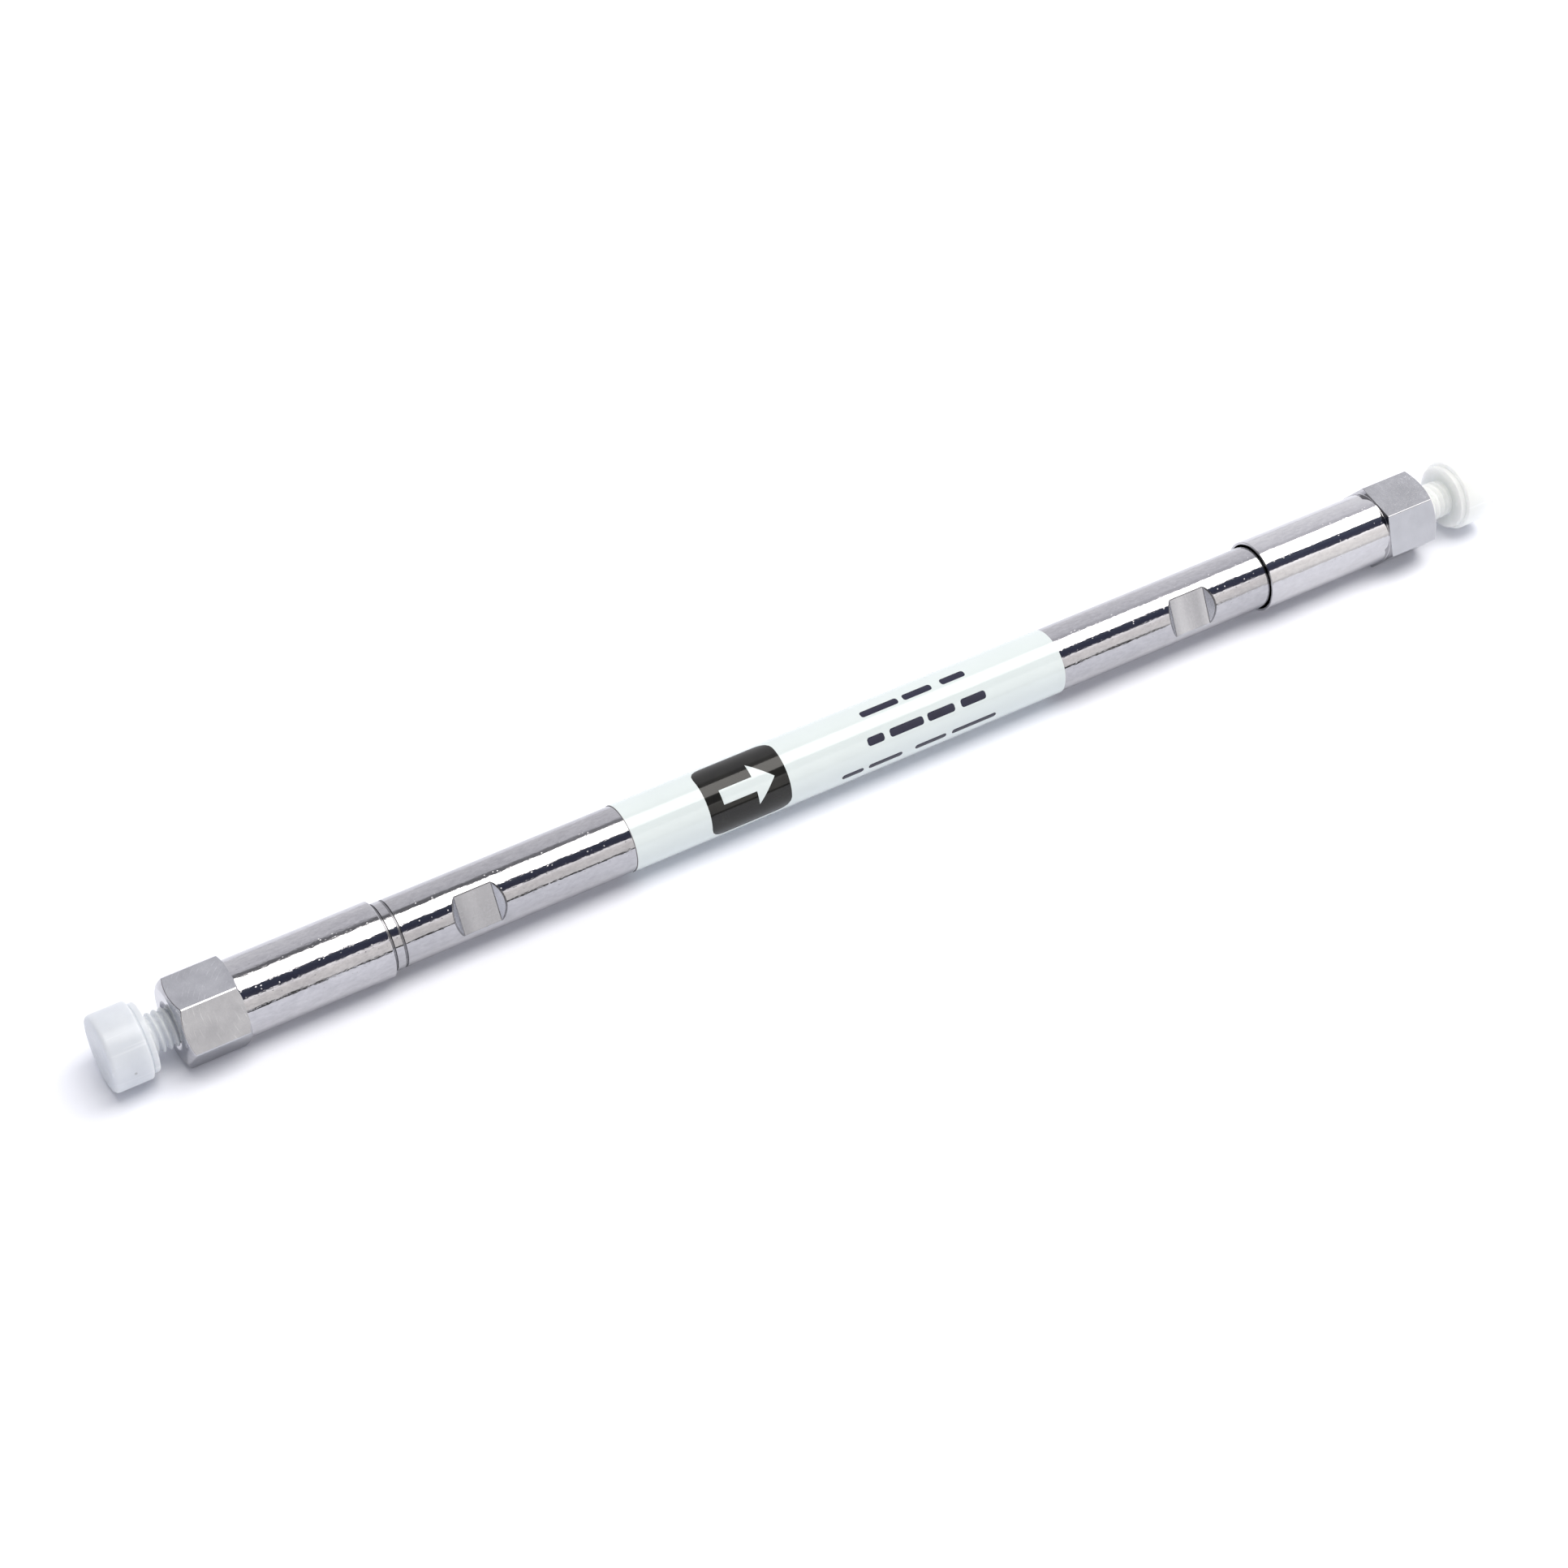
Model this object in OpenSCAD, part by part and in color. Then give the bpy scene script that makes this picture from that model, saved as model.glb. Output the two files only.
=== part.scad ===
// Packed liquid chromatography column, lying at rest.
// A steel tube with a packed bed, a porous frit held in a seal ring at each
// end, two hexagonal end fittings with sleeves, a film label and two
// screw-in transport plugs.
//
// The column's axis runs along X, with the inlet end at -X. The floor is
// z = 0. Inside each piece module, z is the column's axis, x points along +Y
// and y points along +Z, and along_column() turns that into the row's frame.

/* [Tube] */
// Length of the tube and of the packed bed
tube_len = 150; // [100:10:250]
// Outer diameter of the tube
tube_od = 8.1; // [7.9:0.05:8.3]
// Inner diameter of the tube
bore_d = 4.6; // [2.1:0.1:4.6]
// Diameter of the turned-down and threaded tube ends
tube_end_d = 7.6; // [7.3:0.05:7.6]
// Length of each turned-down tube end
tube_end_len = 12; // [9:0.5:13]
// Depth of the two marking grooves beside the inlet sleeve
groove_depth = 0.13; // [0.05:0.01:0.3]

/* [Wrench flats] */
// Distance across the two wrench flats
flats_across = 6.45; // [6.0:0.05:7.5]
// Direction of the first flat, measured from +Y towards +Z
flats_angle = 151.5; // [0:0.5:180]
// Distance of the inlet flats' middle from the tube's inlet end
inlet_flats_at = 25.0; // [20:0.5:30]
// Distance of the outlet flats' middle from the tube's outlet end
outlet_flats_at = 26.7; // [20:0.1:30]
// Length of the inlet flats' floor
inlet_flats_len = 4.65; // [3:0.05:6]
// Length of the outlet flats' floor
outlet_flats_len = 5.05; // [3:0.05:6]

/* [End fittings] */
// Width across the hexagon's flats
hex_af = 9.525; // [9.3:0.025:10.5]
// Radius of the hexagon's outer face inside its chamfer
hex_face_r = 4.35; // [4.0:0.05:4.6]
// Length of the inlet hexagon
inlet_hex_len = 7.4; // [6:0.1:9]
// Length of the outlet hexagon
outlet_hex_len = 7.5; // [6:0.1:9]
// Outer diameter of both sleeves
sleeve_od = 9.15; // [8.95:0.05:9.25]
// Length of the inlet sleeve
inlet_sleeve_len = 17.6; // [14.5:0.1:20]
// Length of the outlet sleeve
outlet_sleeve_len = 18.55; // [14.5:0.05:20]
// Inner diameter of the sleeves' mouths
sleeve_bore_d = 8.5; // [8.4:0.05:8.6]
// Roll of the outlet hexagon about the axis, from +Y towards +Z
outlet_roll = 8.8; // [-30:0.1:30]

/* [Ports] */
// Major diameter of the female port threads
port_d = 4.84; // [4.8:0.02:4.9]
// Diameter of the flow hole
flow_d = 0.5; // [0.2:0.05:1.0]
// Widest diameter of the port's countersink
port_mouth_d = 5.9; // [5.0:0.1:6.4]

/* [Transport plugs] */
// Diameter of the plugs' round heads
plug_head_d = 9.12; // [7:0.02:9.4]
// Length of the plugs' heads without the collar
plug_head_len = 4.5; // [3:0.1:8]
// Rounding of the heads' edges
plug_round = 0.75; // [0.2:0.05:1.2]
// Diameter of the collar under the head
plug_collar_d = 8.2; // [6:0.1:9]
// Length of the collar under the head
plug_collar_len = 0.85; // [0.3:0.05:2]
// Length of plug that shows between the inlet plug's collar and its hexagon
plug_gap = 2.95; // [1.5:0.05:4]
// How much further the outlet plug is screwed out, two turns of its thread
outlet_plug_out = 1.5875; // [0:0.1:3]
// Major diameter of the plugs' threads
plug_thread_d = 4.76; // [4.7:0.01:4.76]
// Diameter of the smooth neck under the head
plug_neck_d = 4.6; // [3.6:0.1:4.7]

/* [Frits and label] */
// Diameter of the porous frit disc
frit_d = 5.2; // [4.8:0.1:6.0]
// Thickness of the frit and its seal ring
frit_t = 1.6; // [1:0.1:2]
// Length of the label along the column
label_len = 59.3; // [20:0.1:70]
// Shift of the label's middle towards the outlet
label_shift = -0.65; // [-5:0.05:5]
// Thickness of the label film
label_t = 0.1; // [0.05:0.05:0.2]

/* [Hidden] */
$fn = 96;

half = tube_len / 2;              // tube end faces
seat = half + frit_t;             // the fittings' inner end walls
face = half + 11;                 // the hexagons' outer faces
hex_r = hex_af / 2 / cos(30);     // radius to a corner
end_r = tube_end_d / 2;
ring_r = end_r;                   // the seal ring is as wide as the tube's end
port_r = port_d / 2;
groove_x = half - (inlet_hex_len + inlet_sleeve_len - 11);

// The hexagons' undersides set how the column lies. The inlet hexagon rests
// on a flat, and the rolled outlet hexagon on one corner, so the outlet end
// lies a little higher.
drop_in = hex_af / 2;
drop_out = hex_r * cos(30 - abs(outlet_roll));
rest_in = face - crown_drop(hex_face_r, hex_af / 2);
rest_out = face - outlet_hex_len;
tilt = atan((drop_out - drop_in) / (rest_in + rest_out));
axis_z = drop_in * cos(tilt) + rest_in * sin(tilt);

steel = [0.74, 0.74, 0.75];
steel_dark = [0.62, 0.62, 0.65];
sinter = [0.55, 0.54, 0.52];
film = [0.95, 0.97, 0.95];
milk = [0.92, 0.93, 0.94];
silica = [0.97, 0.97, 0.96];
seal = [0.80, 0.72, 0.58];

module along_column() {
    translate([0, 0, axis_z]) rotate([0, -tilt, 0]) rotate([90, 0, 90])
        children();
}

module end(outlet) {
    if (outlet) children();
    else mirror([0, 0, 1]) children();
}

module ring(r_in, r_out, z0, z1) {
    rotate_extrude()
        polygon([[r_in, z0], [r_out, z0], [r_out, z1], [r_in, z1]]);
}

// A wrench flat: a straight floor with a 45 degree wall at each end.
module flat_cut(at, len, side) {
    floor_r = flats_across / 2;
    deep = tube_od / 2 + 1 - floor_r;
    rotate([0, 0, flats_angle + side])
        rotate([90, 0, 0])
            translate([0, 0, -tube_od])
                linear_extrude(2 * tube_od)
                    polygon([[floor_r, at - len / 2],
                             [floor_r, at + len / 2],
                             [floor_r + deep, at + len / 2 + deep],
                             [floor_r + deep, at - len / 2 - deep]]);
}

module column_tube() {
    color(steel)
    along_column()
        difference() {
            rotate_extrude()
                polygon([[bore_d / 2, -half],
                         [end_r - 0.2, -half],
                         [end_r, -half + 0.2],
                         [end_r, -half + tube_end_len],
                         [tube_od / 2, -half + tube_end_len],
                         // marking grooves beside the inlet sleeve
                         [tube_od / 2, -groove_x],
                         [tube_od / 2 - groove_depth, -groove_x],
                         [tube_od / 2 - groove_depth, -groove_x + 0.5],
                         [tube_od / 2, -groove_x + 0.5],
                         [tube_od / 2, -groove_x + 1.4],
                         [tube_od / 2 - groove_depth, -groove_x + 1.4],
                         [tube_od / 2 - groove_depth, -groove_x + 1.7],
                         [tube_od / 2, -groove_x + 1.7],
                         [tube_od / 2, half - tube_end_len],
                         [end_r, half - tube_end_len],
                         [end_r, half - 0.2],
                         [end_r - 0.2, half],
                         [bore_d / 2, half]]);
            for (side = [0, 180]) {
                flat_cut(-half + inlet_flats_at, inlet_flats_len, side);
                flat_cut(half - outlet_flats_at, outlet_flats_len, side);
            }
        }
}

module packed_bed() {
    color(silica)
    along_column()
        cylinder(r = bore_d / 2 - 0.01, h = tube_len, center = true);
}

module label_film() {
    color(film)
    along_column()
        ring(tube_od / 2, tube_od / 2 + label_t,
             label_shift - label_len / 2, label_shift + label_len / 2);
}

// The hexagon and its sleeve are one turned and milled piece. Its corners are
// turned back by shallow crowns that leave the end face at about 30 degrees:
// each crown is part of a sphere centred on the axis.
function crown_r(r) = norm([(r + hex_r) / 2, (r + hex_r) / 2 / tan(30)]);
function crown_drop(r, at) =
    sqrt(pow(crown_r(r), 2) - r * r) - sqrt(pow(crown_r(r), 2) - at * at);

module crown(r, z, facing) {
    cr = crown_r(r);
    translate([0, 0, z - facing * sqrt(cr * cr - r * r)]) sphere(r = cr);
}

module fitting_outside(hex_len, sleeve_len, roll, inner_r, mouth_round) {
    z_in = face - hex_len;
    z_mouth = z_in - sleeve_len;
    so = sleeve_od / 2;
    intersection() {
        rotate([0, 0, roll])
            translate([0, 0, z_in])
                cylinder(r = hex_r, h = hex_len, $fn = 6);
        crown(hex_face_r, face, 1);
        if (inner_r < hex_r) crown(inner_r, z_in, -1);
    }
    rotate_extrude()
        polygon(concat(
            [[0, z_in + 1], [0, z_mouth]],
            [for (a = [0 : 18 : 90])
                [so - mouth_round + mouth_round * sin(a),
                 z_mouth + mouth_round - mouth_round * cos(a)]],
            [[so, z_in + 1]]));
}

// The inside, from the sleeve's mouth to the port: room for the tube, the
// female thread on the tube's end, the frit's seat, the distribution cone,
// the flow hole, the tubing pilot, the sealing cone and the port.
module fitting_inside(z_mouth, lip) {
    sb = sleeve_bore_d / 2;
    thread_in = half - tube_end_len + 1;
    pilot = seat + 1.1;
    cone0 = pilot + 1.21;
    cone1 = cone0 + (1.3 - 0.83) / tan(20);
    mouth_r = port_mouth_d / 2;
    rotate_extrude()
        polygon([[0, z_mouth - 1],
                 [sb + lip, z_mouth - 1],
                 [sb + lip, z_mouth],
                 [sb, z_mouth + lip + 0.001],
                 [sb, thread_in],
                 [end_r + 0.05, thread_in + 0.4],
                 [end_r + 0.05, seat],
                 [bore_d / 2 - 0.1, seat],
                 [flow_d / 2, seat + 0.35],
                 [flow_d / 2, pilot],
                 [0.83, pilot],
                 [0.83, cone0],
                 [1.3, cone1],
                 [port_r, cone1],
                 [port_r, face - (mouth_r - port_r)],
                 [mouth_r, face],
                 [mouth_r, face + 1],
                 [0, face + 1]]);
}

module inlet_end_fitting() {
    color(steel)
    along_column() end(false)
        difference() {
            fitting_outside(inlet_hex_len, inlet_sleeve_len, 0, 4.95, 0.45);
            fitting_inside(face - inlet_hex_len - inlet_sleeve_len, 0.05);
        }
}

module outlet_end_fitting() {
    color(steel)
    along_column() end(true)
        difference() {
            fitting_outside(outlet_hex_len, outlet_sleeve_len, outlet_roll,
                            hex_r + 1, 0.04);
            fitting_inside(face - outlet_hex_len - outlet_sleeve_len, 0.15);
        }
}

module frit(outlet) {
    color(sinter)
    along_column() end(outlet)
        translate([0, 0, half]) cylinder(r = frit_d / 2, h = frit_t);
}

module frit_ring(outlet) {
    color(seal)
    along_column() end(outlet)
        ring(frit_d / 2, ring_r, half, seat);
}

// A round head with rounded edges, a collar, a neck, a thread and a cone nose.
module plug(outlet) {
    hr = plug_head_d / 2;
    cr = plug_collar_d / 2;
    tr = plug_thread_d / 2;
    c0 = face + plug_gap;
    h0 = c0 + plug_collar_len;
    h1 = h0 + plug_head_len;
    in_round = 0.3;
    cone0 = seat + 1.1 + 1.21 + 0.2;
    cone1 = seat + 1.1 + 1.21 + (1.3 - 0.83) / tan(20) + 0.3;
    color(milk)
    along_column() end(outlet)
        translate([0, 0, outlet ? outlet_plug_out : 0])
        rotate_extrude()
            polygon(concat(
                [[0, cone0],
                 [0.81, cone0],
                 [0.81 + (cone1 - cone0) * tan(20), cone1],
                 [tr - 0.35, cone1],
                 [tr, cone1 + 0.35],
                 [tr, c0 - 0.95],
                 [plug_neck_d / 2, c0 - 0.95 + (tr - plug_neck_d / 2)],
                 [plug_neck_d / 2, c0],
                 [cr - 0.12, c0],
                 [cr, c0 + 0.12],
                 [cr, h0]],
                [for (a = [0 : 15 : 90])
                    [hr - in_round + in_round * sin(a),
                     h0 + in_round - in_round * cos(a)]],
                [for (a = [90 : 15 : 180])
                    [hr - plug_round + plug_round * sin(a),
                     h1 - plug_round - plug_round * cos(a)]],
                [[0, h1]]));
}

module inlet_frit() { frit(false); }
module outlet_frit() { frit(true); }
module inlet_frit_ring() { frit_ring(false); }
module outlet_frit_ring() { frit_ring(true); }
module inlet_plug() { plug(false); }
module outlet_plug() { plug(true); }

column_tube();
packed_bed();
label_film();
inlet_end_fitting();
outlet_end_fitting();
inlet_frit();
outlet_frit();
inlet_frit_ring();
outlet_frit_ring();
inlet_plug();
outlet_plug();
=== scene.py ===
import math

import bmesh
import bpy
import numpy as np
from mathutils import Matrix, Vector


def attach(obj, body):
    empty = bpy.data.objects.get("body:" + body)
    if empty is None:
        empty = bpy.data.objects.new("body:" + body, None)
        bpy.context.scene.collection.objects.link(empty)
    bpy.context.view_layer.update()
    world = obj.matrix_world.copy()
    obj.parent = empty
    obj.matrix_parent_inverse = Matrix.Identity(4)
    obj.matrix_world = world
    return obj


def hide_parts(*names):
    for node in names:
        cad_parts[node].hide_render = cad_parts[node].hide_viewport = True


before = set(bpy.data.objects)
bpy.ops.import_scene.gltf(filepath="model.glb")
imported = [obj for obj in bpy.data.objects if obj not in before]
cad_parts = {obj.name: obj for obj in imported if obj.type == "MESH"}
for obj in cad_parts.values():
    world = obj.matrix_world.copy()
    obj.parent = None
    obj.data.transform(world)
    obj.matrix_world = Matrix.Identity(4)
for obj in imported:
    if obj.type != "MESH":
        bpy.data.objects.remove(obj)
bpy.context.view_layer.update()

MM = 0.001

# ---------------------------------------------------------------- the frame
# The column's own level frame has its axis on X. The row frame holds it as it
# lies: raised, and tilted because the rolled outlet hexagon stands on a corner.
AF = 9.525
HEX_R = AF / 2 / math.cos(math.radians(30))
FACE, HALF, SEAT = 86.0, 75.0, 76.6
ROLL = 8.8
HEX_FACE_R = 4.35


def crown_r(r):
    m = (r + HEX_R) / 2
    return math.hypot(m, m / math.tan(math.radians(30)))


def crown_drop(r, at):
    c = crown_r(r)
    return math.sqrt(c * c - r * r) - np.sqrt(c * c - at * at)


drop_in, drop_out = AF / 2, HEX_R * math.cos(math.radians(30 - ROLL))
rest_in = FACE - float(crown_drop(HEX_FACE_R, AF / 2))
rest_out = FACE - 7.5
TILT = math.atan((drop_out - drop_in) / (rest_in + rest_out))
AXIS_Z = drop_in * math.cos(TILT) + rest_in * math.sin(TILT)
T = Matrix.Translation((0, 0, AXIS_Z * MM)) @ Matrix.Rotation(-TILT, 4, "Y")
TR = np.array(T)


# ------------------------------------------------------------- mesh building
def rounded(pts, setback, n=3, closed=False):
    """Rounds the corners of M profiles at once. pts is (K, M, 2) in mm, and setback holds each corner's distance to where its rounding starts."""
    k = len(pts)
    out, of = [], []
    for i in range(k):
        end = not closed and i in (0, k - 1)
        if end or not setback[i]:
            out.append(pts[i]); of.append(i)
            continue
        a, b, c = pts[i - 1], pts[i], pts[(i + 1) % k]
        la = np.linalg.norm(a - b, axis=1, keepdims=True)
        lc = np.linalg.norm(c - b, axis=1, keepdims=True)
        e = np.minimum(setback[i], 0.45 * np.minimum(la, lc))
        p0 = b + (a - b) / np.maximum(la, 1e-12) * e
        p2 = b + (c - b) / np.maximum(lc, 1e-12) * e
        for s in np.linspace(0, 1, n + 1):
            out.append((1 - s) ** 2 * p0 + 2 * s * (1 - s) * b + s * s * p2)
            of.append(i)
    return np.array(out), of


def finish_mesh(name, verts, faces, mats, face_mat):
    """A mesh with merged points and normals weighted by face area, so flat faces stay flat beside narrow roundings."""
    v = verts * MM
    v = v @ TR[:3, :3].T + TR[:3, 3]
    me = bpy.data.meshes.new(name)
    me.from_pydata(v.tolist(), [], faces)
    for m in mats:
        me.materials.append(m)
    me.polygons.foreach_set("material_index", face_mat)
    bm = bmesh.new()
    bm.from_mesh(me)
    bmesh.ops.remove_doubles(bm, verts=bm.verts, dist=4e-8)
    bmesh.ops.dissolve_degenerate(bm, dist=1e-8, edges=bm.edges)
    bmesh.ops.recalc_face_normals(bm, faces=bm.faces)
    for f in bm.faces:
        f.smooth = True
    bm.to_mesh(me)
    bm.free()
    me.update()
    ob = bpy.data.objects.new(name, me)
    bpy.context.scene.collection.objects.link(ob)
    weigh_normals(me)
    return ob


def weigh_normals(me):
    nv = len(me.vertices)
    acc = np.zeros((nv, 3))
    for p in me.polygons:
        n = np.array(p.normal) * p.area
        for i in p.vertices:
            acc[i] += n
    ln = np.linalg.norm(acc, axis=1, keepdims=True)
    acc = acc / np.maximum(ln, 1e-30)
    me.normals_split_custom_set_from_vertices(acc.tolist())


def loft(name, prof, theta, mats, ring_mat, closed):
    """prof is (K, M, 2) of x and r in mm for M angles theta in degrees. closed joins the last ring to the first; otherwise the ends lie on the axis."""
    k, m = prof.shape[:2]
    c, s = np.cos(np.radians(theta)), np.sin(np.radians(theta))
    verts = np.stack([prof[..., 0], prof[..., 1] * c, prof[..., 1] * s], -1).reshape(-1, 3)
    faces, fm = [], []
    for i in range(k if closed else k - 1):
        i2 = (i + 1) % k
        for j in range(m):
            j2 = (j + 1) % m
            faces.append((i * m + j, i * m + j2, i2 * m + j2, i2 * m + j))
            fm.append(ring_mat[i])
    return finish_mesh(name, verts, faces, mats, fm)


def flat_profile(points, m):
    return np.repeat(np.array(points, float)[:, None, :], m, axis=1)


# ----------------------------------------------------------------- materials
def nodes_of(mat):
    mat.use_nodes = True
    t = mat.node_tree
    return t, t.nodes["Principled BSDF"], t.nodes, t.links


def new_mat(name):
    return bpy.data.materials.new(name)


def add(nodes, kind, **kw):
    n = nodes.new(kind)
    for a, b in kw.items():
        setattr(n, a, b)
    return n


def math_node(t, op, a, b=None, clamp=False):
    n = t.nodes.new("ShaderNodeMath")
    n.operation, n.use_clamp = op, clamp
    for i, v in enumerate((a, b)):
        if v is None:
            continue
        if isinstance(v, (int, float)):
            n.inputs[i].default_value = v
        else:
            t.links.new(v, n.inputs[i])
    return n.outputs[0]


def ramp(t, fac, stops, interp="LINEAR"):
    n = t.nodes.new("ShaderNodeValToRGB")
    n.color_ramp.interpolation = interp
    el = n.color_ramp.elements
    while len(el) > 1:
        el.remove(el[-1])
    for i, (p, c) in enumerate(stops):
        e = el[0] if i == 0 else el.new(p)
        e.position = p
        e.color = (*c, 1) if len(c) == 3 else c
    t.links.new(fac, n.inputs[0])
    return n.outputs["Color"]


def noise(t, vec, scale, detail=2.0, rough=0.5, distortion=0.0):
    n = t.nodes.new("ShaderNodeTexNoise")
    n.inputs["Scale"].default_value = scale
    n.inputs["Detail"].default_value = detail
    n.inputs["Roughness"].default_value = rough
    n.inputs["Distortion"].default_value = distortion
    t.links.new(vec, n.inputs["Vector"])
    return n.outputs["Fac"]


def mapped(t, vec, scale=(1, 1, 1), rot=(0, 0, 0), loc=(0, 0, 0)):
    n = t.nodes.new("ShaderNodeMapping")
    n.inputs["Scale"].default_value = scale
    n.inputs["Rotation"].default_value = rot
    n.inputs["Location"].default_value = loc
    t.links.new(vec, n.inputs["Vector"])
    return n.outputs["Vector"]


def bump(t, height, strength, distance, normal=None):
    n = t.nodes.new("ShaderNodeBump")
    n.inputs["Strength"].default_value = strength
    n.inputs["Distance"].default_value = distance
    t.links.new(height, n.inputs["Height"])
    if normal is not None:
        t.links.new(normal, n.inputs["Normal"])
    return n.outputs["Normal"]


def steel(name, light, dark, rough_lo, rough_hi, speck=0.5):
    """Polished stainless steel: faint colour drift, fine pits and a few sharper nicks."""
    mat = new_mat(name)
    t, p, nodes, links = nodes_of(mat)
    pos = add(nodes, "ShaderNodeTexCoord").outputs["Object"]
    p.inputs["Metallic"].default_value = 1.0
    drift = noise(t, mapped(t, pos, (0.35, 1, 1)), 260, 3, 0.6)
    grain = noise(t, mapped(t, pos, (0.45, 1, 1)), 2300, 2, 0.7)
    tone = math_node(t, "ADD", math_node(t, "MULTIPLY", drift, 0.45), math_node(t, "MULTIPLY", grain, 0.55))
    links.new(ramp(t, tone, [(0.36, dark), (0.64, light)]), p.inputs["Base Color"])
    pits = noise(t, mapped(t, pos, (0.6, 1, 1)), 3600, 2, 0.6)
    fine = noise(t, mapped(t, pos, (0.22, 1, 1)), 1500, 3, 0.6)
    streak = noise(t, mapped(t, pos, (0.03, 1, 1), (0, 0, 0.08)), 2600, 2, 0.5)
    mr = add(nodes, "ShaderNodeMapRange")
    mr.inputs["From Min"].default_value, mr.inputs["From Max"].default_value = 0.3, 0.7
    mr.inputs["To Min"].default_value, mr.inputs["To Max"].default_value = rough_lo, rough_hi
    links.new(fine, mr.inputs["Value"])
    links.new(mr.outputs[0], p.inputs["Roughness"])
    n1 = bump(t, pits, speck, 0.000009)
    n1 = bump(t, streak, speck, 0.000006, n1)
    n2 = bump(t, fine, speck, 0.000022, n1)
    n2 = bump(t, specks(t, mapped(t, pos, (0.6, 1, 1)), 3300, 0.30, 0.22), speck, 0.000022, n2)
    links.new(n2, p.inputs["Normal"])
    return mat


def specks(t, vec, scale, share, size):
    """Sparse round specks: 1 on a speck, 0 elsewhere. share is the part of the cells that hold one."""
    v = t.nodes.new("ShaderNodeTexVoronoi")
    v.inputs["Scale"].default_value = scale
    t.links.new(vec, v.inputs["Vector"])
    near = math_node(t, "SUBTRACT", 1.0, math_node(t, "DIVIDE", v.outputs["Distance"], size), True)
    sep = t.nodes.new("ShaderNodeSeparateXYZ")
    t.links.new(v.outputs["Color"], sep.inputs[0])
    return math_node(t, "MULTIPLY", near, math_node(t, "LESS_THAN", sep.outputs[0], share))


def milled_steel(name, light, dark, rough_lo, rough_hi, centre, arcs=0.5, painted_reflection_bands=False):
    """A milled face: even cool grey with soft blotches, a fine grain and a few of the arcs that the cutter left round
    centre (mm). The arcs are also brightened in the base colour as a painted highlight, and the band option adds
    brighter bands across the flat as a painted reflection.
    """
    mat = new_mat(name)
    t, p, nodes, links = nodes_of(mat)
    pos = add(nodes, "ShaderNodeTexCoord").outputs["Object"]
    p.inputs["Metallic"].default_value = 1.0
    if painted_reflection_bands:
        blot = noise(t, mapped(t, pos, (1, 0.16, 0.16)), 420, 1, 0.4)
    else:
        blot = noise(t, pos, 380, 2, 0.5)
    grain = noise(t, mapped(t, pos, (1, 0.6, 0.6)), 5200, 2, 0.6)
    tone = math_node(t, "ADD", math_node(t, "MULTIPLY", blot, 0.74), math_node(t, "MULTIPLY", grain, 0.26))
    if painted_reflection_bands:
        # painted reflection: a slightly brighter band for each pass of the cutter, standing in for the light that a
        # slightly wavy milled face reflects
        sep = t.nodes.new("ShaderNodeSeparateXYZ")
        t.links.new(pos, sep.inputs[0])
        turn_ = math_node(t, "MULTIPLY", math_node(t, "ADD", sep.outputs[0], 50.45 * MM), 2 * math.pi / (4.07 * MM))
        tone = math_node(t, "ADD", math_node(t, "MULTIPLY", tone, 0.7), math_node(t, "MULTIPLY", math_node(t, "COSINE", turn_), 0.12))
        tone = math_node(t, "ADD", tone, 0.17)
    w = add(nodes, "ShaderNodeTexWave", wave_type="RINGS", rings_direction="SPHERICAL")
    w.inputs["Scale"].default_value = 520
    w.inputs["Distortion"].default_value = 1.6
    w.inputs["Detail"].default_value = 3
    w.inputs["Detail Scale"].default_value = 0.7
    links.new(mapped(t, pos, (1, 1, 1), loc=[-c * MM for c in centre]), w.inputs["Vector"])
    thin = add(nodes, "ShaderNodeMapRange")
    thin.inputs["From Min"].default_value, thin.inputs["From Max"].default_value = 0.90, 1.0
    links.new(w.outputs["Fac"], thin.inputs["Value"])
    patch = add(nodes, "ShaderNodeMapRange")
    patch.inputs["From Min"].default_value, patch.inputs["From Max"].default_value = 0.50, 0.62
    links.new(noise(t, mapped(t, pos, (1, 1, 1), loc=(0.3, 0.1, 0.2)), 620, 2, 0.6), patch.inputs["Value"])
    cut = math_node(t, "MULTIPLY", thin.outputs[0], patch.outputs[0])
    # the cutter's arcs are real marks in the bump; brightening them in the base colour here is a painted highlight
    tone = math_node(t, "ADD", tone, math_node(t, "MULTIPLY", cut, 0.16 * arcs))
    links.new(ramp(t, tone, [(0.36, dark), (0.64, light), (0.78, tuple(min(1, c * 1.22) for c in light))]), p.inputs["Base Color"])
    mr = add(nodes, "ShaderNodeMapRange")
    mr.inputs["From Min"].default_value, mr.inputs["From Max"].default_value = 0.3, 0.7
    mr.inputs["To Min"].default_value, mr.inputs["To Max"].default_value = rough_lo, rough_hi
    links.new(grain, mr.inputs["Value"])
    links.new(mr.outputs[0], p.inputs["Roughness"])
    n = bump(t, grain, 0.35, 0.000006)
    links.new(bump(t, cut, 0.5 * arcs, 0.000008, n), p.inputs["Normal"])
    return mat


def plastic(name, light, dark, rough, scale, sss=0.0, radius=(1, 1, 1), sss_scale=0.001, bump_d=0.000004):
    mat = new_mat(name)
    t, p, nodes, links = nodes_of(mat)
    pos = add(nodes, "ShaderNodeTexCoord").outputs["Object"]
    f = noise(t, pos, scale, 3, 0.55)
    links.new(ramp(t, f, [(0.3, dark), (0.7, light)]), p.inputs["Base Color"])
    f2 = noise(t, pos, scale * 9, 3, 0.6)
    mr = add(nodes, "ShaderNodeMapRange")
    mr.inputs["To Min"].default_value, mr.inputs["To Max"].default_value = rough * 0.8, rough * 1.2
    links.new(f2, mr.inputs["Value"])
    links.new(mr.outputs[0], p.inputs["Roughness"])
    links.new(bump(t, f2, 0.3, bump_d), p.inputs["Normal"])
    if sss:
        p.inputs["Subsurface Weight"].default_value = sss
        p.inputs["Subsurface Radius"].default_value = radius
        p.inputs["Subsurface Scale"].default_value = sss_scale
    return mat


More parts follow.
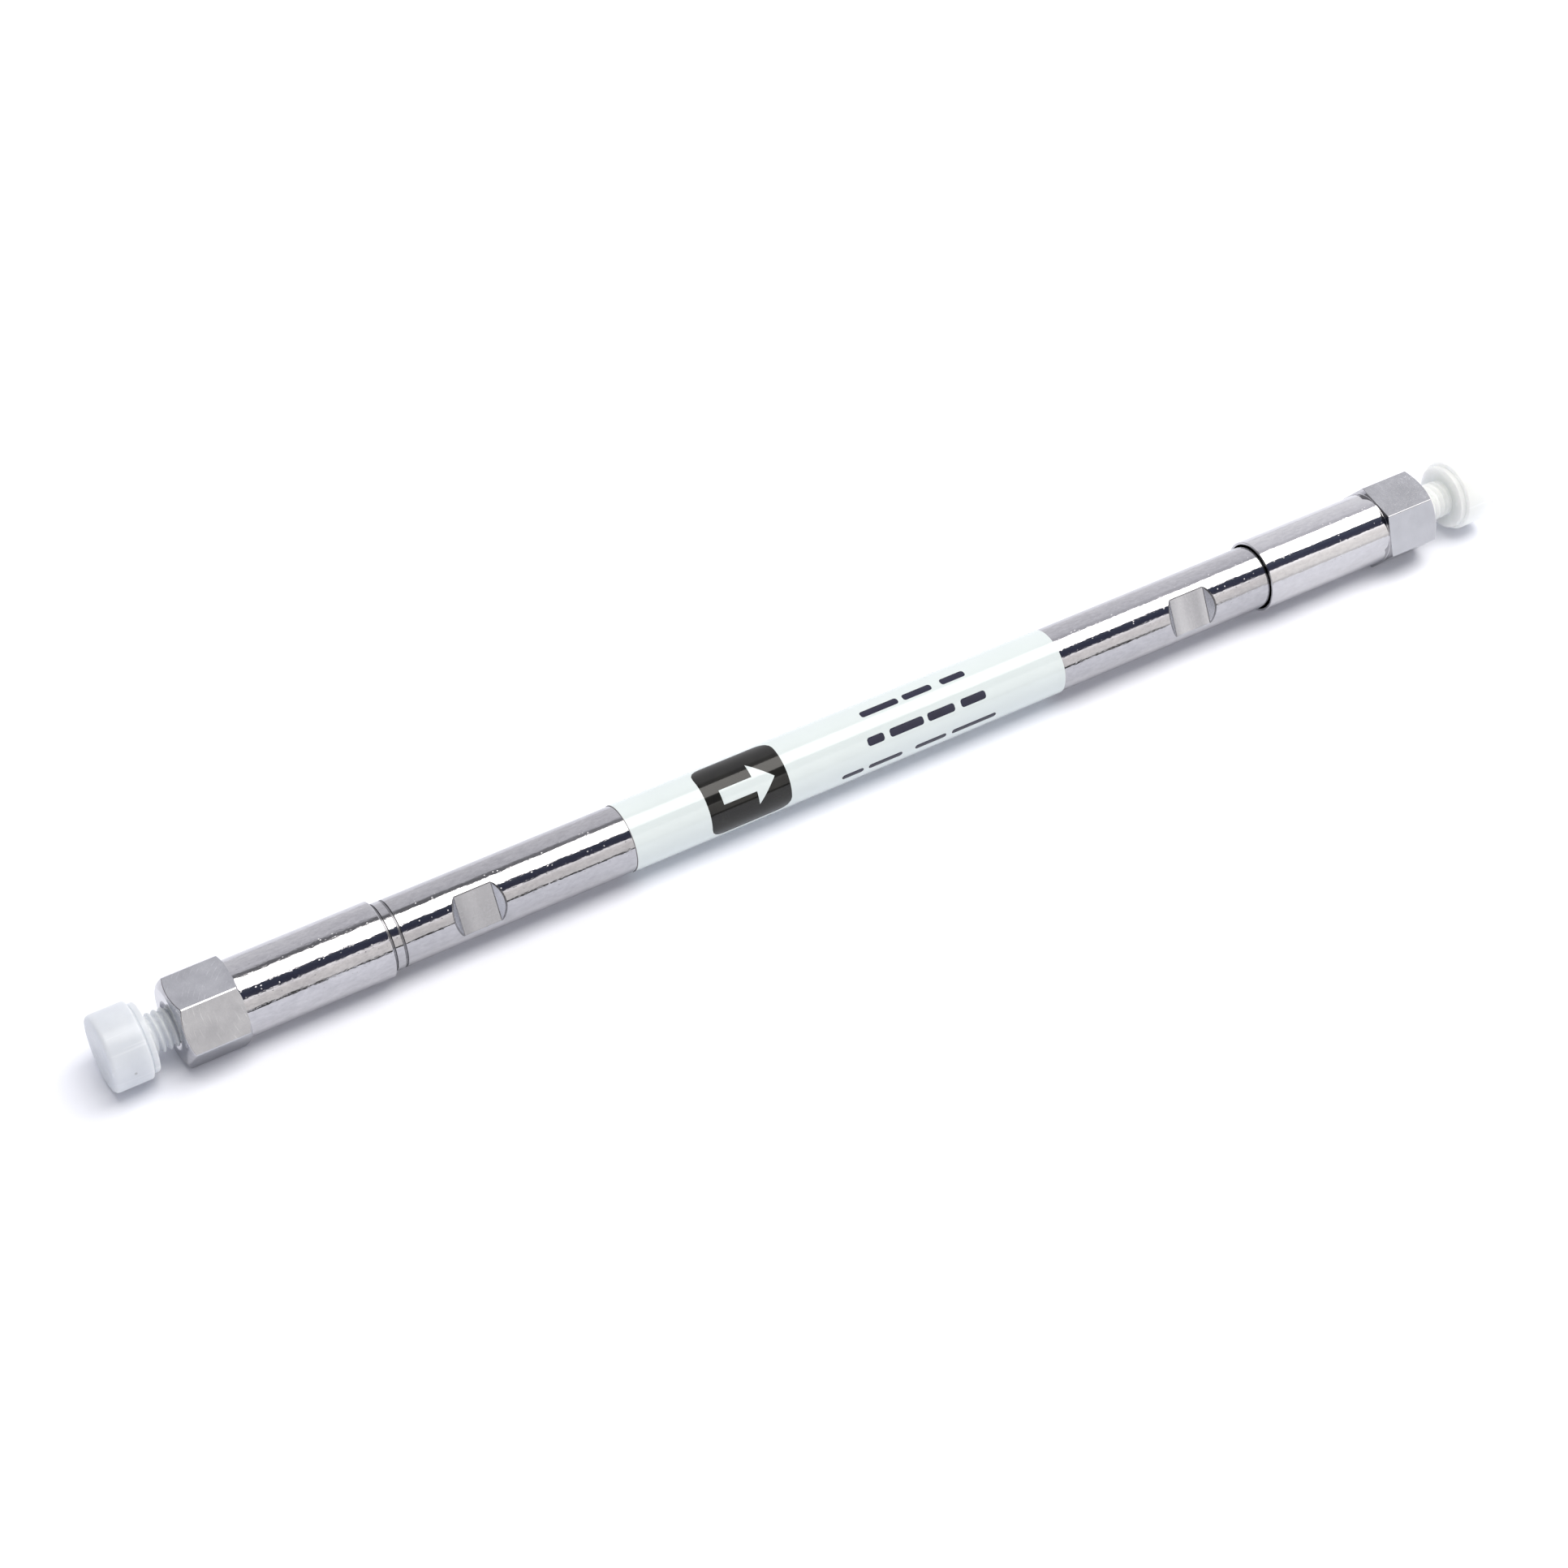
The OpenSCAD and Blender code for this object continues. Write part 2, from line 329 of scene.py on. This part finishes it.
tube_steel = steel("tube_steel", (0.478, 0.475, 0.494), (0.394, 0.392, 0.412), 0.045, 0.085, 0.6)
inlet_steel = steel("inlet_fitting_steel", (0.536, 0.533, 0.552), (0.430, 0.427, 0.450), 0.045, 0.09, 0.75)
outlet_steel = steel("outlet_fitting_steel", (0.570, 0.567, 0.584), (0.495, 0.492, 0.510), 0.045, 0.08, 0.4)
# the tube's flats take the painted reflection bands
tube_milled = milled_steel("tube_milled_steel", (0.565, 0.57, 0.60), (0.385, 0.39, 0.415), 0.15, 0.22, (-50, -14, -6), 0.5, True)
inlet_milled = milled_steel("inlet_hexagon_steel", (0.52, 0.525, 0.55), (0.43, 0.435, 0.46), 0.15, 0.24, (-70, -10, 12), 1.0)
outlet_milled = milled_steel("outlet_hexagon_steel", (0.475, 0.48, 0.50), (0.415, 0.42, 0.438), 0.14, 0.22, (88, -12, 10), 0.35)
wall_steel = milled_steel("flat_end_wall_steel", (0.49, 0.495, 0.53), (0.37, 0.375, 0.41), 0.22, 0.32, (-48, -9, 3), 0.6)
# Dark steel as painted shade, for the grooves, the roundings at the flats' end walls and a line along each flat's upper
# edge.
groove_painted_shade_steel = steel("groove_painted_shade_steel", (0.24, 0.24, 0.255), (0.15, 0.15, 0.16), 0.2, 0.35, 0.5)
thread_steel = steel("port_thread_steel", (0.50, 0.49, 0.51), (0.42, 0.415, 0.43), 0.2, 0.3, 0.4)


def milky(name, light, dark, fleck, sss, depth):
    """Milky moulded plastic with faint mould streaks along the axis and a few dark flecks."""
    mat = plastic(name, light, dark, 0.34, 300, sss, (1.0, 1.0, 1.05), depth, 0.00002)
    t, p, nodes, links = nodes_of(mat)
    pos = add(nodes, "ShaderNodeTexCoord").outputs["Object"]
    base = p.inputs["Base Color"].links[0].from_socket
    st = noise(t, mapped(t, pos, (0.05, 1, 1)), 1100, 2, 0.6)
    lit = add(nodes, "ShaderNodeMapRange")
    lit.inputs["From Min"].default_value, lit.inputs["From Max"].default_value = 0.60, 0.70
    links.new(st, lit.inputs["Value"])
    mx = add(nodes, "ShaderNodeMix", data_type="RGBA")
    links.new(math_node(t, "MULTIPLY", lit.outputs[0], 0.22), mx.inputs["Factor"])
    links.new(base, mx.inputs["A"])
    mx.inputs["B"].default_value = (0.90, 0.92, 0.94, 1)
    dots = specks(t, pos, 620, fleck, 0.16)
    mx2 = add(nodes, "ShaderNodeMix", data_type="RGBA")
    links.new(dots, mx2.inputs["Factor"])
    links.new(mx.outputs["Result"], mx2.inputs["A"])
    mx2.inputs["B"].default_value = (0.16, 0.16, 0.15, 1)
    links.new(mx2.outputs["Result"], p.inputs["Base Color"])
    return mat


# The two plugs are the same milky plastic: the inlet plug's copy is darker as painted shade, and the outlet plug's copy
# is lighter and more translucent as painted light.
milk = milky("milky_plastic", (0.615, 0.645, 0.682), (0.565, 0.595, 0.635), 0.05, 0.85, 0.0030)
milk_outlet_painted_light = milky("milky_plastic_painted_light", (0.765, 0.783, 0.770), (0.735, 0.753, 0.740), 0.03, 1.0, 0.0042)
film = plastic("label_film", (0.638, 0.698, 0.700), (0.620, 0.680, 0.682), 0.10, 180, bump_d=0.000001)
# Painted shadow: a dark film for the label's two end faces and their roundings, where the film steps up from the tube.
film_painted_shadow = plastic("label_film_painted_shadow", (0.26, 0.25, 0.26), (0.20, 0.19, 0.20), 0.4, 900, bump_d=0.000001)
ink = plastic("label_print", (0.014, 0.014, 0.012), (0.008, 0.008, 0.008), 0.10, 400, bump_d=0.000001)
navy = plastic("label_print_navy", (0.016, 0.016, 0.040), (0.010, 0.010, 0.028), 0.10, 400, bump_d=0.000001)
for m_ in (ink, navy):
    m_.node_tree.nodes["Principled BSDF"].inputs["Specular IOR Level"].default_value = 0.36
sinter = plastic("sintered_frit", (0.40, 0.39, 0.38), (0.20, 0.195, 0.19), 0.6, 4200, bump_d=0.00002)
sinter.node_tree.nodes["Principled BSDF"].inputs["Metallic"].default_value = 1.0
seal = plastic("seal_ring_polymer", (0.66, 0.53, 0.34), (0.60, 0.47, 0.30), 0.4, 800)
silica = plastic("packed_silica", (0.90, 0.90, 0.89), (0.80, 0.80, 0.79), 0.85, 6000, bump_d=0.00002)

# ----------------------------------------------------------------- the tube
R_TUBE, R_BORE, R_END, FLAT = 4.05, 2.3, 3.8, 3.225
FLATS_AT = 151.5
half_sector = math.degrees(math.acos(FLAT / R_TUBE))
theta = set(np.arange(0, 360, 2.0).tolist())
for c in (FLATS_AT, FLATS_AT + 180):
    for s in (-1, 1):
        edge = (c + s * half_sector) % 360
        theta = {a for a in theta if abs((a - edge + 180) % 360 - 180) > 1.5}
        theta |= {round((edge + d) % 360, 6) for d in (-1.4, -0.7, -0.25, 0, 0.25, 0.7, 1.4)}
theta = np.array(sorted(theta))
off = np.minimum(np.abs((theta - FLATS_AT + 180) % 360 - 180), np.abs((theta - FLATS_AT - 180 + 180) % 360 - 180))
inside = off < half_sector - 1e-4
cosd = np.cos(np.radians(off))
r_floor = np.where(inside, FLAT / cosd, R_TUBE)
wall = np.where(inside, R_TUBE * cosd - FLAT, 0.0)
# a slight rounding where a flat's long edges meet the tube
near = np.abs(off - half_sector)
r_floor = r_floor - 0.012 * np.clip(1 - near / 0.7, 0, 1)
wall = np.where(near < 0.7, 0.0, wall)
M = len(theta)


def tube_rows():
    def row(x, r):
        return np.stack([np.broadcast_to(x, M), np.broadcast_to(r, M)], -1).astype(float)

    rows, back, mat, edge = [], [], [], []

    def put(x, r, e=0.0, m=0, me=None):
        rows.append(row(x, r)); back.append(e); mat.append(m); edge.append(m if me is None else me)

    gx, gd = 61.0, 0.13
    put(-HALF, R_BORE, 0.05)
    put(-HALF, R_END, 0.2)
    put(-HALF + 12, R_END, 0)
    put(-HALF + 12, R_TUBE, 0.1)
    # the grooves are lined with the dark steel as painted shade
    for x0, x1 in ((-gx + 0.05, -gx + 0.4), (-gx + 1.42, -gx + 1.68)):
        put(x0, R_TUBE, 0.05, 2)
        put(x0, R_TUBE - gd, 0.05, 2)
        put(x1, R_TUBE - gd, 0.05, 2)
        put(x1, R_TUBE, 0.05, 0, 2)
    # the roundings at each flat's end walls take the dark groove steel as painted shade
    for at, ln in ((-HALF + 25.0, 4.65), (HALF - 26.7, 5.05)):
        put(at - ln / 2 - 1.3, R_TUBE)
        put(at - ln / 2 - wall, R_TUBE, 0.13, 1, 2)
        put(at - ln / 2, r_floor, 0.06, 1, 2)
        put(at, r_floor, 0, 1)
        put(at + ln / 2, r_floor, 0.06, 3, 2)
        put(at + ln / 2 + wall, R_TUBE, 0.13, 0, 2)
        put(at + ln / 2 + 1.3, R_TUBE)
        if at < 0:
            for x in (-40, -20, 0, 20, 38):
                put(x, R_TUBE)
    put(HALF - 12, R_TUBE, 0.1)
    put(HALF - 12, R_END, 0)
    put(HALF, R_END, 0.2)
    put(HALF, R_BORE, 0.05)
    return np.array(rows), back, mat, edge


rows, back, mat, edge = tube_rows()
prof, of = rounded(rows, back, 3, True)
ring = [edge[i] if of[(k + 1) % len(of)] == i else mat[i] for k, i in enumerate(of)]
tube = loft("steel_tube", prof, theta, [tube_steel, tube_milled, groove_painted_shade_steel, wall_steel], ring, True)
# outside the flats' sectors the same bands are plain turned tube
for p in tube.data.polygons:
    if p.material_index in (1, 3):
        c = T.inverted() @ p.center
        a = math.degrees(math.atan2(c.z, c.y))
        o = min(abs((a - FLATS_AT + 180) % 360 - 180), abs((a - FLATS_AT) % 360 - 180))
        if o > half_sector + 0.1:
            p.material_index = 0
        elif o > half_sector - 1.5 and c.z > 0.0025:
            p.material_index = 2          # painted shade: a dark line along a flat's upper edge
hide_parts("column_tube")
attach(tube, "column")

# ------------------------------------------------------------- end fittings
PITCH = 0.79375


def thread_height(x, th, depth, flip, slim=0.14):
    """Height of a 60 degree thread above its root, 0 to depth, for angles th in degrees. A larger slim gives a thinner ridge."""
    u = (x / PITCH - flip * th / 360.0) % 1.0
    v = 1 - np.abs(2 * u - 1)              # 0 at the root, 1 at the crest
    return depth * np.clip((v - slim) / 0.68, 0, 1)


def hex_radius(a, broken):
    """Radius of a hexagon with broken edges of the given width in mm, whose face normals lie at 30, 90, ... degrees, and the angle from a face's middle to its edge."""
    h = AF / 2
    rc = HEX_R - broken / 2 * math.tan(math.radians(30))
    al = np.abs((a - 30 + 30) % 60 - 30)
    edge = 30 - math.degrees(math.atan(broken / 2 / rc))
    return np.minimum(h / np.cos(np.radians(al)), rc / np.cos(np.radians(30 - al))), edge


def hex_angles(roll, broken):
    e = float(hex_radius(np.array([0.0]), broken)[1])
    offs = [0, 3, 6, 9, 12, 15, 18, 21, 24, 26.5, e - 0.35, e]
    if broken > 0.15:
        offs.append(e + 0.3)          # keeps a wide broken edge flat
    out = set()
    for k in range(6):
        c = 30 + 60 * k + roll
        for o in offs:
            out |= {round((c + o) % 360, 6), round((c - o) % 360, 6)}
        out.add(round((c + 30) % 360, 6))
    return np.array(sorted(out))


def fitting(name, side, hex_len, sleeve_len, roll, inner_r, mouth_round, lip, broken, mats):
    th = hex_angles(roll, broken)
    m = len(th)
    rh, _ = hex_radius(th - roll, broken)
    z_in = FACE - hex_len
    z_mouth = z_in - sleeve_len
    so, sb, port_r, mouth_r = 4.575, 4.25, 2.42, 2.95
    pilot = SEAT + 1.1
    cone0 = pilot + 1.21
    cone1 = cone0 + 0.47 / math.tan(math.radians(20))
    rows, back, mat = [], [], []

    def put(x, r, e=0.0, k=0):
        rows.append(np.stack([np.broadcast_to(x, m), np.broadcast_to(r, m)], -1).astype(float))
        back.append(e); mat.append(k)

    # outside, from the sleeve's mouth to the hexagon's end face
    put(z_mouth, sb + lip, 0.04)
    put(z_mouth, so, mouth_round)
    for x in np.linspace(z_mouth + 3, z_in - 2, 4):
        put(x, so)
    put(z_in, so, 0.10)
    if inner_r < HEX_R:
        put(z_in, inner_r - 0.25)
        put(z_in, np.minimum(inner_r, rh), 0.05)
        for f in (0.5,):
            rr = inner_r + (np.maximum(rh, inner_r) - inner_r) * f
            put(z_in + crown_drop(inner_r, rr), np.minimum(rr, rh))
        put(z_in + crown_drop(inner_r, np.maximum(rh, inner_r)), rh, 0.06, 1)
    else:
        put(z_in, rh, 0.05, 1)
    put(z_in + hex_len * 0.5, rh, 0, 1)
    put(FACE - crown_drop(HEX_FACE_R, rh), rh, 0.09, 0)
    for f in (0.66, 0.33):
        rr = HEX_FACE_R + (rh - HEX_FACE_R) * f
        put(FACE - crown_drop(HEX_FACE_R, rr), rr)
    put(FACE, HEX_FACE_R, 0.10)
    put(FACE, mouth_r, 0.05, 0)
    put(FACE - (mouth_r - port_r), port_r, 0.03, 2)
    # the port's female thread, from the countersink down to the cone
    n = 88
    xs = np.linspace(FACE - (mouth_r - port_r) - 0.06, cone1 + 0.25, n)
    for x in xs:
        fade = np.clip((x - cone1 - 0.3) / 0.6, 0, 1) * np.clip((FACE - (mouth_r - port_r) - x) / 0.5, 0, 1)
        h = thread_height(x, th, 0.36, side, 0.28) * fade
        put(x, port_r - h, 0, 2)
    put(cone1, port_r, 0.03, 2)
    put(cone1, 1.3, 0.03, 2)
    put(cone0, 0.83, 0.02, 2)
    put(pilot, 0.83, 0.02, 2)
    put(pilot, 0.25, 0.02, 2)
    put(SEAT + 0.35, 0.25, 0, 2)
    put(SEAT, 2.2, 0, 0)
    put(SEAT, R_END + 0.05, 0, 0)
    put(HALF - 10.6, R_END + 0.05, 0, 0)
    put(HALF - 11, sb, 0, 0)
    put(z_mouth + lip, sb, 0.03)
    P = np.array(rows)
    P, of = rounded(P, back, 4, True)
    mt = [mat[i] for i in of]
    if side < 0:
        P = P * np.array([-1.0, 1.0])
    return loft(name, P, th, mats, mt, True)


fin = fitting("inlet_fitting_body", -1, 7.4, 17.6, 0.0, 4.95, 0.45, 0.05, 0.19, [inlet_steel, inlet_milled, thread_steel])
fout = fitting("outlet_fitting_body", 1, 7.5, 18.55, ROLL, HEX_R + 1, 0.14, 0.05, 0.08, [outlet_steel, outlet_milled, thread_steel])
for o, n in ((fin, "inlet_end_fitting"), (fout, "outlet_end_fitting")):
    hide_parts(n)
    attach(o, "column")


# -------------------------------------------------------------------- plugs
def plug(name, side, out_by, lag, mtl):
    th = np.arange(0, 360, 3.0)
    m = len(th)
    hr, cr, tr, nr = 4.56, 4.1, 2.38, 2.3
    c0 = FACE + 2.95
    h0 = c0 + 0.85
    h1 = h0 + 4.5
    cone0 = SEAT + 1.1 + 1.21 + 0.2
    cone1 = SEAT + 1.1 + 1.21 + 0.47 / math.tan(math.radians(20)) + 0.3
    rows, back = [], []

    def put(x, r, e=0.0):
        rows.append(np.stack([np.broadcast_to(x, m), np.broadcast_to(r, m)], -1).astype(float))
        back.append(e)

    put(cone0, 0.0)
    put(cone0, 0.81, 0.12)
    put(cone1, 0.81 + (cone1 - cone0) * math.tan(math.radians(20)), 0.05)
    put(cone1, 1.75, 0.1)
    depth = 0.36
    root = tr - depth
    t0, t1 = cone1 + 0.3, c0 - 0.3
    for x in np.linspace(t0, t1, 132):
        start = np.clip((x - t0) / 0.9, 0, 1)
        end = np.clip((t1 - x) / 0.5, 0, 1)
        h = thread_height(x + PITCH / 2 + lag, th, depth, side) * start
        put(x, root + h * end + (depth - 0.08) * (1 - end))
    put(c0 - 0.2, nr, 0)
    put(c0, nr, 0.08)
    put(c0, cr, 0.14)
    put(h0 - 0.22, cr - 0.02, 0.06)
    put(h0 - 0.18, cr - 0.12, 0.04)
    put(h0, cr - 0.10, 0.04)
    put(h0, hr, 0.30)
    put(h0 + 1.2, hr)
    put(h1 - 1.5, hr)
    put(h1, hr, 0.95)
    put(h1, 3.0)
    put(h1 - 0.02, 1.5)
    put(h1 - 0.03, 0.0)
    P, of = rounded(np.array(rows), back, 6)
    P = P + np.array([out_by, 0.0])
    if side < 0:
        P = P * np.array([-1.0, 1.0])
    return loft(name, P, th, [mtl], [0] * len(P), False)


# The outlet plug rests two turns out and slides in by 1.5 mm, a little less than
# two turns. Its thread is set back by half the difference, so it clears the
# port's thread in both places.
for side, n, out_by, lag, mtl in ((-1, "inlet_plug", 0.0, 0.0, milk),
                                  (1, "outlet_plug", 2 * PITCH, PITCH - 0.75, milk_outlet_painted_light)):
    o = plug(n + "_body", side, out_by, lag, mtl)
    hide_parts(n)
    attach(o, n)

# -------------------------------------------------------------------- label
L0, L1, R_FILM = -30.3, 29.0, 4.15
th = np.arange(0, 360, 2.0)
m = len(th)
seam = 262.0       # the wrap's overlap lies underneath, towards the back
lift = np.where(((th - seam) % 360) < 34, 0.0, -0.025)
rows = [np.stack([np.full(m, x), np.broadcast_to(r, m)], -1).astype(float)
        for x, r in ((L0, R_TUBE), (L0, R_FILM + lift), (L0 + 0.07, R_FILM + lift), (-15, R_FILM + lift),
                     (0, R_FILM + lift), (15, R_FILM + lift), (L1, R_FILM + lift), (L1, R_TUBE))]
P, of = rounded(np.array(rows), [0, 0.03, 0, 0, 0, 0, 0.03, 0], 3, True)
# the label's end faces take the dark film as a painted shadow line
label = loft("label_wrap", P, th, [film, film_painted_shadow], [1 if i in (0, 1, 6) else 0 for i in of], True)
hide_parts("label_film")
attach(label, "column")


def print_patch(name, outline, mtl, proud=0.008):
    """A thin printed field on the film. outline is a list of (x mm, arc mm) points, arc measured round the film from the line that faces up the camera's side."""
    bm = bmesh.new()
    vs = [bm.verts.new((x, a, 0)) for x, a in outline]
    bm.faces.new(vs)
    for axis, step, lo, hi in ((0, 1.0, min(x for x, _ in outline), max(x for x, _ in outline)),
                               (1, 0.15, min(a for _, a in outline), max(a for _, a in outline))):
        k = math.floor(lo / step) + 1
        while k * step < hi - 1e-6:
            co, no = [0, 0, 0], [0, 0, 0]
            co[axis], no[axis] = k * step, 1
            bmesh.ops.bisect_plane(bm, geom=bm.verts[:] + bm.edges[:] + bm.faces[:], plane_co=co, plane_no=no)
            k += 1
    bmesh.ops.triangulate(bm, faces=bm.faces)
    bm.verts.index_update()
    flat = np.array([v.co[:] for v in bm.verts])
    tris = [[v.index for v in f.verts] for f in bm.faces]
    edge = [(e.verts[0].index, e.verts[1].index, [v.index for v in e.link_faces[0].verts]) for e in bm.edges if len(e.link_faces) == 1]
    bm.free()
    n = len(flat)

    def place(r):
        a = np.radians(180 - PRINT_PHI) - flat[:, 1] / R_FILM
        return np.stack([flat[:, 0], r * np.cos(a), r * np.sin(a)], -1)

    top, low = place(R_FILM - 0.025 + proud), place(R_FILM - 0.045)
    faces = [tuple(f) for f in tris] + [tuple(i + n for i in reversed(f)) for f in tris]
    for a, b, _ in edge:
        faces.append((a, b, b + n, a + n))
    return finish_mesh(name, np.vstack([top, low]), faces, [mtl], [0] * len(faces))


PRINT_PHI = 48.5


def bar(x0, x1, a, h, r=0.35):
    r = min(h / 2, r)
    pts = []
    for cx, ca, d0 in ((x1 - r, a + h / 2 - r, 0), (x0 + r, a + h / 2 - r, 90), (x0 + r, a - h / 2 + r, 180), (x1 - r, a - h / 2 + r, 270)):
        pts += [(cx + r * math.cos(math.radians(d0 + d)), ca + r * math.sin(math.radians(d0 + d))) for d in (0, 22.5, 45, 67.5, 90)]
    return pts


# a dark field with a plain flow arrow, and rows of plain bars
prints = [("print_field", bar(-20.4, -9.7, -0.1, 10.4, 1.7), ink, 0.006),
          ("flow_arrow", [(-18.4, -1.0), (-14.0, -1.0), (-14.0, -2.7), (-11.3, -0.1), (-14.0, 2.5), (-14.0, 0.8), (-18.4, 0.8)], film, 0.012)]
for i, (x0, x1, a, h) in enumerate(((2.0, 7.2, 2.8, 0.95), (7.9, 11.9, 2.8, 0.95), (13.2, 16.6, 2.8, 0.95),
                                    (1.2, 3.5, -0.75, 1.05), (4.3, 9.0, -0.75, 1.05), (9.6, 13.4, -0.75, 1.05), (14.3, 17.8, -0.75, 1.05),
                                    (-2.8, 0.2, -4.1, 0.7), (0.9, 5.6, -4.1, 0.7), (7.4, 11.8, -4.1, 0.7), (12.6, 18.9, -4.1, 0.7))):
    prints.append((f"print_bar_{i + 1}", bar(x0, x1, a, h), navy, 0.006))
for n, outline, mtl, proud in prints:
    o = print_patch(n, outline, mtl, proud)
    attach(o, "column")

# ------------------------------------------------- pieces that stay from CAD
for n, mtl in (("packed_bed", silica), ("inlet_frit", sinter), ("outlet_frit", sinter),
               ("inlet_frit_ring", seal), ("outlet_frit_ring", seal)):
    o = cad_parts[n]
    o.data.materials.clear()
    o.data.materials.append(mtl)

# -------------------------------------------------------------------- floor
bm = bmesh.new()
bmesh.ops.create_circle(bm, cap_ends=True, segments=96, radius=6.0)
me = bpy.data.meshes.new("floor")
bm.to_mesh(me)
bm.free()
floor = bpy.data.objects.new("floor", me)
bpy.context.scene.collection.objects.link(floor)
fm = new_mat("floor_paper")
t, p, nodes, links = nodes_of(fm)
pos = add(nodes, "ShaderNodeTexCoord").outputs["Object"]
links.new(ramp(t, noise(t, pos, 40, 2), [(0.3, (0.885, 0.905, 0.975)), (0.7, (0.905, 0.925, 0.988))]), p.inputs["Base Color"])
p.inputs["Roughness"].default_value = 0.9
p.inputs["Specular IOR Level"].default_value = 0.1
me.materials.append(fm)

# ------------------------------------------------------------------- camera
cam_data = bpy.data.cameras.new("camera")
cam = bpy.data.objects.new("camera", cam_data)
bpy.context.scene.collection.objects.link(cam)
bpy.context.scene.camera = cam
cam_data.sensor_fit = "HORIZONTAL"
cam_data.sensor_width = 36.0
cam_data.lens = 36.0 * 3885.8 / 1932
cam_data.clip_start, cam_data.clip_end = 0.01, 20
level = Matrix.Translation((-0.14512, -0.22884, 0.25850)) @ \
    Matrix.Rotation(math.radians(-30.867), 4, "Z") @ Matrix.Rotation(math.radians(90 - 44.356), 4, "X")
cam.matrix_world = T @ level

# ------------------------------------------------------------ studio light
# A long softbox overhead, and a plain surround: a grey room behind, a dark gap
# between the softbox and the pale front wall, and a thin dark line where the
# front wall meets the table.
world = bpy.data.worlds.new("studio")
bpy.context.scene.world = world
world.use_nodes = True
t = world.node_tree
t.nodes.clear()
links = t.links
out = t.nodes.new("ShaderNodeOutputWorld")
d = add(t.nodes, "ShaderNodeTexCoord").outputs["Generated"]
sep = add(t.nodes, "ShaderNodeSeparateXYZ")
links.new(d, sep.inputs[0])
dx, dy, dz = sep.outputs
phi = math_node(t, "MULTIPLY", math_node(t, "ARCTAN2", dz, math_node(t, "MULTIPLY", dy, -1.0)), 180 / math.pi)
turn = math_node(t, "MULTIPLY", math_node(t, "SUBTRACT", dx, 0.35), 8.0)
phi = math_node(t, "SUBTRACT", phi, turn)
u = math_node(t, "DIVIDE", phi, 180.0, True)


def deg(x):
    return x / 180.0


K = 1.0
studio = ramp(t, u, [
    (deg(0), (1.00, 0.98, 0.97)),
    (deg(6), (1.02, 0.99, 0.97)),
    (deg(22), (1.07, 1.03, 1.00)),
    (deg(30), (1.12, 1.08, 1.05)),
    (deg(34), (1.26, 1.22, 1.20)),
    (deg(38.3), (1.62, 1.58, 1.58)),
    (deg(39.3), (0.08, 0.08, 0.11)),
    (deg(50), (0.055, 0.06, 0.10)),
    (deg(60), (0.075, 0.085, 0.125)),
    (deg(67.6), (0.09, 0.10, 0.14)),
    (deg(68.4), (0.38, 0.38, 0.40)),
    (deg(98), (0.38, 0.38, 0.40)),
    (deg(103), (0.78, 0.775, 0.82)),
    (deg(125), (0.85, 0.845, 0.885)),
    (deg(150), (0.90, 0.895, 0.93)),
    (deg(180), (0.96, 0.955, 0.99)),
])


def dip(centre, half_w, soft, depth):
    """1 away from centre, 1 - depth on it."""
    a = math_node(t, "ABSOLUTE", math_node(t, "SUBTRACT", phi, centre))
    mr = add(t.nodes, "ShaderNodeMapRange", interpolation_type="SMOOTHSTEP")
    links.new(a, mr.inputs["Value"])
    mr.inputs["From Min"].default_value, mr.inputs["From Max"].default_value = half_w, half_w + soft
    mr.inputs["To Min"].default_value, mr.inputs["To Max"].default_value = 1.0, 0.0
    return math_node(t, "SUBTRACT", 1.0, math_node(t, "MULTIPLY", mr.outputs[0], depth))


def along(lo, hi, a, b):
    """a up to dx = lo, then smoothly to b at dx = hi."""
    mr = add(t.nodes, "ShaderNodeMapRange", interpolation_type="SMOOTHSTEP")
    links.new(dx, mr.inputs["Value"])
    for k, v in zip(("From Min", "From Max", "To Min", "To Max"), (lo, hi, a, b)):
        mr.inputs[k].default_value = v
    return mr.outputs[0]


line_front = dip(1.2, 3.0, 2.0, along(0.47, 0.50, 0.94, 0.18))
line_rear = dip(107.0, 5.0, 9.0, along(0.24, 0.48, 0.70, 0.14))
lp = add(t.nodes, "ShaderNodeLightPath")
left = math_node(t, "MAXIMUM", along(-0.30, 0.14, 0.42, 1.0), math_node(t, "MULTIPLY", lp.outputs["Is Diffuse Ray"], 0.62))
gain = math_node(t, "MULTIPLY", along(0.15, 0.6, 1.01, 1.24), left)
fill = math_node(t, "ADD", 1.0, math_node(t, "MULTIPLY", lp.outputs["Is Diffuse Ray"], 0.22))
strength = math_node(t, "MULTIPLY", math_node(t, "MULTIPLY", line_front, line_rear), math_node(t, "MULTIPLY", gain, fill))
bg = add(t.nodes, "ShaderNodeBackground")
links.new(studio, bg.inputs["Color"])
links.new(math_node(t, "MULTIPLY", strength, K), bg.inputs["Strength"])
plain = add(t.nodes, "ShaderNodeBackground")
plain.inputs["Color"].default_value = (1.0, 1.0, 1.0, 1)
plain.inputs["Strength"].default_value = 1.05
mix = add(t.nodes, "ShaderNodeMixShader")
links.new(lp.outputs["Is Camera Ray"], mix.inputs[0])
links.new(bg.outputs[0], mix.inputs[1])
links.new(plain.outputs[0], mix.inputs[2])
links.new(mix.outputs[0], out.inputs["Surface"])

soft = bpy.data.lights.new("softbox", "AREA")
soft.shape = "RECTANGLE"
soft.size, soft.size_y = 1.23, 0.667
soft.energy = 4.5 * math.pi * soft.size * soft.size_y
soft.color = (1.03, 1.0, 0.95)
softbox = bpy.data.objects.new("softbox", soft)
bpy.context.scene.collection.objects.link(softbox)
softbox.matrix_world = Matrix.Translation((0.365, -0.1265, 1.0)) @ Matrix.Rotation(math.radians(9.0), 4, "Z")
softbox.visible_camera = False

bpy.context.scene.view_settings.view_transform = "Standard"
